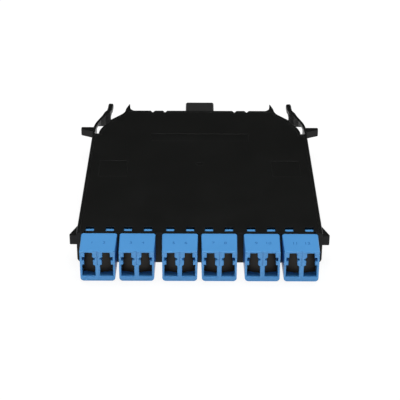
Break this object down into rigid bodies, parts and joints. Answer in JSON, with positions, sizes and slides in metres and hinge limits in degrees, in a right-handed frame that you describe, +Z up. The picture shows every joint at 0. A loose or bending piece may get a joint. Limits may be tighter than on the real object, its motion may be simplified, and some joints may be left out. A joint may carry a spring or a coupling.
{
  "type": "fibre cassette",
  "caption": "Thin black fibre breakout cassette with blue shuttered duplex adapters along its front, a multi-fibre port at the back, side tabs and flexible latch arms",
  "frame": {"origin": "centre of the overall width and length, on the flat underside", "axes": "+Z up; the duplex ports face -Y; the multi-fibre port faces +Y; +X to the right seen from the front"},
  "size_m": [0.0988, 0.1246, 0.0123],
  "materials": {
    "shell_black": "fine satin texture, moulded black",
    "adapter_blue": "satin moulded blue",
    "shutter_dark": "satin dark",
    "spring_steel": "bright wire",
    "sleeve_ceramic": "polished white ceramic",
    "ferrule_ceramic": "polished white ceramic",
    "plug_blue": "satin moulded blue",
    "fan_out_black": "satin black",
    "ribbon_aqua": "smooth flat ribbon",
    "multi_black": "satin black",
    "multi_plug_green": "satin green",
    "multi_ferrule_dark": "dark filled resin",
    "guide_pin_steel": "ground steel",
    "boot_black": "soft black rubber",
    "fibre_blue": "smooth buffered fibre",
    "fibre_orange": "smooth buffered fibre",
    "fibre_green": "smooth buffered fibre",
    "fibre_brown": "smooth buffered fibre",
    "fibre_slate": "smooth buffered fibre",
    "fibre_white": "smooth buffered fibre",
    "fibre_red": "smooth buffered fibre",
    "fibre_black": "smooth buffered fibre",
    "fibre_yellow": "smooth buffered fibre",
    "fibre_violet": "smooth buffered fibre",
    "fibre_rose": "smooth buffered fibre",
    "fibre_aqua": "smooth buffered fibre"
  },
  "bodies": {
    "shell": {"base_tray": "shell_black", "top_cover": "shell_black", "adapter_housing_1": "adapter_blue", "adapter_housing_2": "adapter_blue", "adapter_housing_3": "adapter_blue", "adapter_housing_4": "adapter_blue", "adapter_housing_5": "adapter_blue", "adapter_housing_6": "adapter_blue", "inner_plug_01": "plug_blue", "inner_plug_02": "plug_blue", "inner_plug_03": "plug_blue", "inner_plug_04": "plug_blue", "inner_plug_05": "plug_blue", "inner_plug_06": "plug_blue", "inner_plug_07": "plug_blue", "inner_plug_08": "plug_blue", "inner_plug_09": "plug_blue", "inner_plug_10": "plug_blue", "inner_plug_11": "plug_blue", "inner_plug_12": "plug_blue", "fibre_01": "fibre_blue", "fibre_02": "fibre_orange", "fibre_03": "fibre_green", "fibre_04": "fibre_brown", "fibre_05": "fibre_slate", "fibre_06": "fibre_white", "fibre_07": "fibre_red", "fibre_08": "fibre_black", "fibre_09": "fibre_yellow", "fibre_10": "fibre_violet", "fibre_11": "fibre_rose", "fibre_12": "fibre_aqua", "shutter_springs": "spring_steel", "split_sleeves": "sleeve_ceramic", "ferrules": "ferrule_ceramic", "fan_out_block": "fan_out_black", "ribbon": "ribbon_aqua", "multi_adapter": "multi_black", "multi_plug": "multi_plug_green", "multi_ferrule": "multi_ferrule_dark", "guide_pins": "guide_pin_steel", "multi_boot": "boot_black"},
    "leaf_01": {"shutter_01": "shutter_dark"},
    "leaf_02": {"shutter_02": "shutter_dark"},
    "leaf_03": {"shutter_03": "shutter_dark"},
    "leaf_04": {"shutter_04": "shutter_dark"},
    "leaf_05": {"shutter_05": "shutter_dark"},
    "leaf_06": {"shutter_06": "shutter_dark"},
    "leaf_07": {"shutter_07": "shutter_dark"},
    "leaf_08": {"shutter_08": "shutter_dark"},
    "leaf_09": {"shutter_09": "shutter_dark"},
    "leaf_10": {"shutter_10": "shutter_dark"},
    "leaf_11": {"shutter_11": "shutter_dark"},
    "leaf_12": {"shutter_12": "shutter_dark"}
  },
  "joints": [
    {"name": "shutter_01_hinge", "type": "hinge", "parent": "shell", "child": "leaf_01", "pos_m": [-0.03664, -0.05975, 0.00675], "axis": [0, 0, -1], "range_deg": [0, 78], "stiffness_Nm_per_rad": 0.00004, "springref_deg": -20.05},
    {"name": "shutter_02_hinge", "type": "hinge", "parent": "shell", "child": "leaf_02", "pos_m": [-0.03529, -0.05975, 0.00675], "axis": [0, 0, 1], "range_deg": [0, 78], "stiffness_Nm_per_rad": 0.00004, "springref_deg": -20.05},
    {"name": "shutter_03_hinge", "type": "hinge", "parent": "shell", "child": "leaf_03", "pos_m": [-0.02287, -0.05975, 0.00675], "axis": [0, 0, -1], "range_deg": [0, 78], "stiffness_Nm_per_rad": 0.00004, "springref_deg": -20.05},
    {"name": "shutter_04_hinge", "type": "hinge", "parent": "shell", "child": "leaf_04", "pos_m": [-0.02152, -0.05975, 0.00675], "axis": [0, 0, 1], "range_deg": [0, 78], "stiffness_Nm_per_rad": 0.00004, "springref_deg": -20.05},
    {"name": "shutter_05_hinge", "type": "hinge", "parent": "shell", "child": "leaf_05", "pos_m": [-0.00768, -0.05975, 0.00675], "axis": [0, 0, -1], "range_deg": [0, 78], "stiffness_Nm_per_rad": 0.00004, "springref_deg": -20.05},
    {"name": "shutter_06_hinge", "type": "hinge", "parent": "shell", "child": "leaf_06", "pos_m": [-0.00632, -0.05975, 0.00675], "axis": [0, 0, 1], "range_deg": [0, 78], "stiffness_Nm_per_rad": 0.00004, "springref_deg": -20.05},
    {"name": "shutter_07_hinge", "type": "hinge", "parent": "shell", "child": "leaf_07", "pos_m": [0.00632, -0.05975, 0.00675], "axis": [0, 0, -1], "range_deg": [0, 78], "stiffness_Nm_per_rad": 0.00004, "springref_deg": -20.05},
    {"name": "shutter_08_hinge", "type": "hinge", "parent": "shell", "child": "leaf_08", "pos_m": [0.00768, -0.05975, 0.00675], "axis": [0, 0, 1], "range_deg": [0, 78], "stiffness_Nm_per_rad": 0.00004, "springref_deg": -20.05},
    {"name": "shutter_09_hinge", "type": "hinge", "parent": "shell", "child": "leaf_09", "pos_m": [0.02152, -0.05975, 0.00675], "axis": [0, 0, -1], "range_deg": [0, 78], "stiffness_Nm_per_rad": 0.00004, "springref_deg": -20.05},
    {"name": "shutter_10_hinge", "type": "hinge", "parent": "shell", "child": "leaf_10", "pos_m": [0.02287, -0.05975, 0.00675], "axis": [0, 0, 1], "range_deg": [0, 78], "stiffness_Nm_per_rad": 0.00004, "springref_deg": -20.05},
    {"name": "shutter_11_hinge", "type": "hinge", "parent": "shell", "child": "leaf_11", "pos_m": [0.03529, -0.05975, 0.00675], "axis": [0, 0, -1], "range_deg": [0, 78], "stiffness_Nm_per_rad": 0.00004, "springref_deg": -20.05},
    {"name": "shutter_12_hinge", "type": "hinge", "parent": "shell", "child": "leaf_12", "pos_m": [0.03664, -0.05975, 0.00675], "axis": [0, 0, 1], "range_deg": [0, 78], "stiffness_Nm_per_rad": 0.00004, "springref_deg": -20.05}
  ]
}
